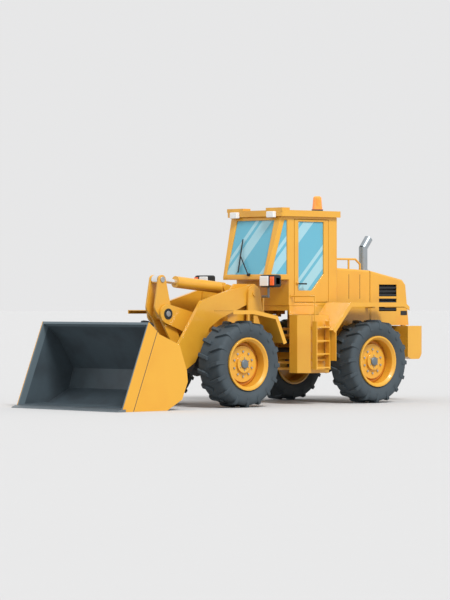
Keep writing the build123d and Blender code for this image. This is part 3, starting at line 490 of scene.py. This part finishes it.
def build_headlamps():
    """Housings, lenses, indicators and stalks on both sides."""
    low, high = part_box("headlamps")
    housings, lenses, indicators, stalks = bmesh.new(), bmesh.new(), bmesh.new(), bmesh.new()
    bottom, top = LAMP_BOTTOM, high.z
    for side in (1, -1):
        inner, outer = side * LAMP_INNER, side * high.y
        add_box(housings, (low.x, min(inner, outer), bottom),
                (high.x - HOUSING_FRONT, max(inner, outer), top))
        lens_end = outer - side * INDICATOR_WIDTH
        add_box(lenses, (high.x - LENS_BACK, min(inner, lens_end) + LENS_SIDE, bottom + LENS_RIM),
                (high.x - LENS_FRONT, max(inner, lens_end) - LENS_SIDE, top - LENS_RIM))
        near, far = outer - side * INDICATOR_NEAR, outer - side * INDICATOR_FAR
        add_box(indicators, (high.x - INDICATOR_BACK, min(near, far), bottom + INDICATOR_RIM),
                (high.x - INDICATOR_FRONT, max(near, far), top - INDICATOR_RIM))
        lens_low, lens_high = sorted((outer - side * SIDE_LENS_DEPTH, outer))
        add_box(indicators, (low.x + SIDE_LENS_REAR, lens_low, bottom + SIDE_LENS_RIM),
                (high.x - SIDE_LENS_FRONT, lens_high, top - SIDE_LENS_RIM))
        x, y, z = STALK_ELBOW[0], side * STALK_ELBOW[1], STALK_ELBOW[2]
        stalk_end = low.y if side < 0 else STALK_END
        add_round(stalks, (x, y, STALK_TOP), (x, y, z), STALK_R, flats=24)
        add_round(stalks, (x, y + side * STALK_START, z), (x, stalk_end, z), STALK_R, flats=24)
    add_piece("headlamp_housings", housings, TRIM_BLACK, "front_body", bevel=0.030, replaced=("headlamps",))
    add_piece("headlamp_lenses", lenses, LAMP_WHITE, "front_body", bevel=0.012)
    add_piece("indicator_lenses", indicators, LAMP_ORANGE, "front_body", bevel=0.008)
    add_piece("headlamp_stalks", stalks, EDGE_STEEL, "front_body", bevel=0.003)


# Windscreen wiper, on the slope of the glass
SCREEN_FOOT, SCREEN_HEAD = (-0.182, 2.040), (-0.450, 3.010)
WIPER_PIVOT = (0.117, 2.075)
WIPER_ARM_END = (-0.167, 2.392)
BLADE_FOOT, BLADE_HEAD, BLADE_AHEAD = (-0.146, 2.110), (-0.190, 2.650), 0.014


def on_screen(y, z, ahead):
    """A point in front of the windscreen."""
    share = (z - SCREEN_FOOT[1]) / (SCREEN_HEAD[1] - SCREEN_FOOT[1])
    return Vector((SCREEN_FOOT[0] + share * (SCREEN_HEAD[0] - SCREEN_FOOT[0]) + ahead, y, z))


def build_wiper():
    """Blade, arm and pivot."""
    shape = bmesh.new()
    add_round(shape, on_screen(*BLADE_FOOT, BLADE_AHEAD), on_screen(*BLADE_HEAD, BLADE_AHEAD), 0.011,
              flats=12)
    add_round(shape, on_screen(*WIPER_PIVOT, 0.030), on_screen(*WIPER_ARM_END, 0.024), 0.010, flats=12)
    add_round(shape, on_screen(*WIPER_PIVOT, -0.010), on_screen(*WIPER_PIVOT, 0.042), 0.024, flats=24)
    add_piece("windscreen_wiper", shape, TRIM_BLACK, "rear_body", bevel=0.003)


# Driver's seat: two crowned cushions with sewn channels
CHANNELS, CHANNEL_WIDTH, CHANNEL_DEPTH = (-0.42, 0.42), 0.045, 0.10
FLAT_THICKNESS, CROWN_HEIGHT, EDGE_DROP = 0.70, 0.30, 0.22
SPREAD, PULL_IN, TURN_UNDER = 0.965, 0.035, 0.05
# Middle and size of each cushion, the corners of the pan and the lean of the back
BASE_PLACE, BASE_SIZE = (-1.165, 0, 2.108), (0.440, 0.470, 0.125)
BACK_PLACE, BACK_SIZE = (-1.440, 0, 2.470), (0.640, 0.470, 0.105)
PAN_LOW, PAN_HIGH = (-1.360, -0.200, 2.050), (-0.980, 0.200, 2.062)
BACK_LEAN = math.atan2(0.120, 0.640)


def build_cushion(name, centre, size, lean, replaced=()):
    """A stuffed cushion, thick along its own Z and leaning back by an angle."""
    shape = bmesh.new()
    bmesh.ops.create_cube(shape, size=2.0)
    bmesh.ops.subdivide_edges(shape, edges=shape.edges[:], cuts=15, use_grid_fill=True)
    turn = Matrix.Rotation(lean, 4, "Y")
    half = Vector(size) / 2
    for corner in shape.verts:
        a, b, c = corner.co
        crown = (1 - a * a) * (1 - b * b)
        edge = (abs(a) ** 6 + abs(b) ** 6) / 2
        channel = sum(math.exp(-((b - at) / CHANNEL_WIDTH) ** 2) for at in CHANNELS) * (1 - abs(a) ** 8)
        thick = c * (FLAT_THICKNESS + CROWN_HEIGHT * crown - EDGE_DROP * edge - CHANNEL_DEPTH * channel)
        wide = b * (SPREAD - PULL_IN * (1 - a * a) - TURN_UNDER * c * c)
        long = a * (SPREAD - PULL_IN * (1 - b * b) - TURN_UNDER * c * c)
        corner.co = Vector(centre) + turn @ Vector((long * half.x, wide * half.y, thick * half.z))
    piece = add_piece(name, shape, FABRIC, "rear_body", replaced=replaced)
    smooth = piece.modifiers.new("smooth", "SUBSURF")
    smooth.levels = smooth.render_levels = 1


def build_seat():
    """Base and back cushions, and the pan under the base."""
    build_cushion("seat_base", BASE_PLACE, BASE_SIZE, 0.0, ("driver_seat",))
    build_cushion("seat_back", BACK_PLACE, BACK_SIZE, math.pi / 2 + BACK_LEAN)
    pan = bmesh.new()
    add_box(pan, PAN_LOW, PAN_HIGH)
    add_piece("seat_pan", pan, TRIM_BLACK, "rear_body", bevel=0.004)


# Keeper rings beside the bell crank's pin, and pin heads at the top of the crank
RING_FOOT = 0.170
RING_TOP = RING_FOOT + 0.010
RING_OUTLINE = [(0.047, RING_FOOT), (0.085, RING_FOOT), (0.085, RING_TOP), (0.047, RING_TOP)]
HEAD_FOOT, HEAD_TOP, HEAD_R = 0.119, 0.134, 0.044


def build_pin_heads():
    """Keeper rings on the boom and pin heads at the top of the bell crank."""
    rings, heads = bmesh.new(), bmesh.new()
    for side in (-1, 1):
        add_turned(rings, RING_OUTLINE, CRANK_PIN[0], 0, side, z=CRANK_PIN[1], steps=48)
    add_piece("crank_pin_rings", rings, TRIM_BLACK, "boom", bevel=0.002)
    x, z = CRANK_TOP
    for side in (-1, 1):
        add_round(heads, (x, side * HEAD_FOOT, z), (x, side * HEAD_TOP, z), HEAD_R)
    add_piece("crank_top_pin_heads", heads, PIN_STEEL, "bell_crank", bevel=0.004)


# Painted-shade screens and yellow bars at the grilles: how far out their faces lie, and their corners
SCREEN_INNER, SCREEN_OUTER = 0.508, 0.512
SCREEN_X, SCREEN_Z = (-3.150, -2.700), (1.470, 1.940)
REAR_SCREEN_LOW, REAR_SCREEN_HIGH = (-3.338, -0.440, 1.330), (-3.334, 0.440, 1.900)
BAR_INNER, BAR_OUTER = HOOD_HALF - 0.012, HOOD_HALF - 0.001
BAR_X, BAR_Z = (-3.134, -2.716), (1.694, 1.730)


def build_grille_shade_screens():
    """Black sheets of painted shade behind the side and rear grilles, standing for the dark inside of the
    hood and closing the view through it.
    """
    # The screens are black sheets of painted shade, put where the inside of the hood would lie in shadow
    screens = bmesh.new()
    for side in (-1, 1):
        low, high = sorted((side * SCREEN_OUTER, side * SCREEN_INNER))
        add_box(screens, (SCREEN_X[0], low, SCREEN_Z[0]), (SCREEN_X[1], high, SCREEN_Z[1]))
    add_box(screens, REAR_SCREEN_LOW, REAR_SCREEN_HIGH)
    add_piece("grille_shade_screens", screens, TRIM_BLACK, "hood")


def build_hood_trim():
    """The yellow bar across each side grille."""
    bars = bmesh.new()
    for side in (-1, 1):
        low, high = sorted((side * BAR_INNER, side * BAR_OUTER))
        add_box(bars, (BAR_X[0], low, BAR_Z[0]), (BAR_X[1], high, BAR_Z[1]))
    add_piece("grille_bars", bars, MACHINE_YELLOW, "hood", bevel=0.003)


# Panel seams and a latch on the sides, laid on whatever surface is there
SEAM_X = (-2.011, -2.266)
SEAM_FOOT, SEAM_HEAD = 1.690, 2.090
SEAM_HALF, SEAM_PROUD, SEAM_SUNK = 0.004, 0.0015, 0.004
SEAM_LEVEL = 0.002
LATCH_X, LATCH_Z = (-3.380, -3.230), (1.418, 1.490)
LATCH_MIDDLE = (-3.306, 1.454)
LATCH_SUNK, LATCH_PROUD = 0.006, 0.005
FAR_OUT = 3.0


def side_surface(name, x, z, side):
    """How far out a node's side face lies at a place, or None where it has none."""
    hit, where, _, _ = NODES[name].ray_cast(Vector((x, side * FAR_OUT, z)), Vector((0, -side, 0)))
    return where.y if hit else None


def build_seams():
    """Seams on the deck's sides and latches on the hood's."""
    bpy.context.view_layer.update()
    seams = bmesh.new()
    for side in (-1, 1):
        for x in SEAM_X:
            foot = side_surface("engine_deck", x, SEAM_FOOT, side)
            head = side_surface("engine_deck", x, SEAM_HEAD, side)
            if foot is None or head is None or abs(foot - head) > SEAM_LEVEL:
                continue
            low, high = sorted((foot - side * SEAM_SUNK, foot + side * SEAM_PROUD))
            add_box(seams, (x - SEAM_HALF, low, SEAM_FOOT), (x + SEAM_HALF, high, SEAM_HEAD))
    if seams.verts:
        add_piece("deck_seams", seams, TRIM_BLACK, "rear_body")
    else:
        seams.free()
    latches = bmesh.new()
    for side in (-1, 1):
        face = side_surface("hood_shell", *LATCH_MIDDLE, side)
        if face is not None:
            low, high = sorted((face - side * LATCH_SUNK, face + side * LATCH_PROUD))
            add_box(latches, (LATCH_X[0], low, LATCH_Z[0]), (LATCH_X[1], high, LATCH_Z[1]))
    if latches.verts:
        add_piece("hood_latches", latches, TRIM_BLACK, "hood", bevel=0.002)
    else:
        latches.free()


HANDLE_Z, HANDLE_PROUD, HANDLE_SUNK = 1.930, 0.038, 0.006
HANDLE_ENDS, HANDLE_POSTS = (-0.925, -0.765), (-0.905, -0.785)
HANDLE_R, POST_R = 0.012, 0.009


def build_door_handle():
    """A bar on two posts, near the door's front edge."""
    shape = bmesh.new()
    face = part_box("door_panel")[1].y
    bar = face + HANDLE_PROUD
    for x in HANDLE_POSTS:
        add_round(shape, (x, face - HANDLE_SUNK, HANDLE_Z), (x, bar, HANDLE_Z), POST_R, flats=16)
    add_round(shape, (HANDLE_ENDS[0], bar, HANDLE_Z), (HANDLE_ENDS[1], bar, HANDLE_Z), HANDLE_R, flats=16)
    add_piece("door_handle", shape, TRIM_BLACK, "door", bevel=0.003)


FLOOR_HALF = 300.0
FLOOR_GREY, FLOOR_PATCH = (0.53, 0.53, 0.53), (0.525, 0.525, 0.525)
STUDIO_GREY, STUDIO_STRENGTH = (0.94, 0.94, 0.945, 1), 0.85
# Lights: name, direction, strength and softness in degrees
LIGHTS = (("key", (-0.25, -1.0, -1.15), 2.8, 18.0), ("fill", (-1.0, 0.2, -0.55), 0.3, 50.0))


def build_stage():
    """A pale floor and soft studio light."""
    floor = bmesh.new()
    bmesh.ops.create_grid(floor, x_segments=1, y_segments=1, size=FLOOR_HALF)
    mesh = bpy.data.meshes.new("floor")
    floor.to_mesh(mesh)
    floor.free()
    plane = bpy.data.objects.new("floor", mesh)
    mesh.materials.append(paint("floor_paper", FLOOR_GREY, FLOOR_PATCH, 1.0, relief=0.0))
    SCENE.collection.objects.link(plane)
    world = bpy.data.worlds.new("studio")
    world.use_nodes = True
    background = world.node_tree.nodes["Background"]
    background.inputs["Color"].default_value = STUDIO_GREY
    background.inputs["Strength"].default_value = STUDIO_STRENGTH
    SCENE.world = world
    for name, direction, energy, spread in LIGHTS:
        light = bpy.data.lights.new(name, "SUN")
        light.energy = energy
        light.angle = math.radians(spread)
        lamp = bpy.data.objects.new(name, light)
        lamp.rotation_mode = "QUATERNION"
        lamp.rotation_quaternion = Vector(direction).to_track_quat("-Z", "Y")
        SCENE.collection.objects.link(lamp)
    SCENE.view_settings.view_transform = "Standard"


# Camera: a long lens at the photograph's angle, level with the middle of the picture
CAMERA_AIM = Vector((0.125, -0.115, 1.670))
CAMERA_BACK = Vector((0.676, 0.737, 0.0))
CAMERA_DISTANCE = 45.0
FRAME_HEIGHT = 9.618
FARTHEST = 500.0


def build_camera():
    """The camera, whose picture is FRAME_HEIGHT metres high where it aims."""
    camera = bpy.data.cameras.new("camera")
    camera.lens = camera.sensor_width * CAMERA_DISTANCE / FRAME_HEIGHT
    camera.clip_end = FARTHEST
    holder = bpy.data.objects.new("camera", camera)
    holder.location = CAMERA_AIM + CAMERA_BACK * CAMERA_DISTANCE
    holder.rotation_mode = "QUATERNION"
    holder.rotation_quaternion = (-CAMERA_BACK).to_track_quat("-Z", "Y")
    SCENE.collection.objects.link(holder)
    SCENE.camera = holder


for entry in frame["record"]["subparts"]:
    dress_node(entry["node"], SLOT_MATERIALS[entry["material_slot"]])
for axle_end in WHEEL_X:
    for side_name, side_sign in SIDES:
        dress_node(f"rim_{axle_end}_{side_name}", RIM_YELLOW)
        build_tyre(axle_end, side_name, side_sign)
        build_wheel_fastenings(axle_end, side_name, side_sign)
build_headlamps()
build_wiper()
build_seat()
build_pin_heads()
build_grille_shade_screens()
build_hood_trim()
build_seams()
build_door_handle()
build_stage()
build_camera()
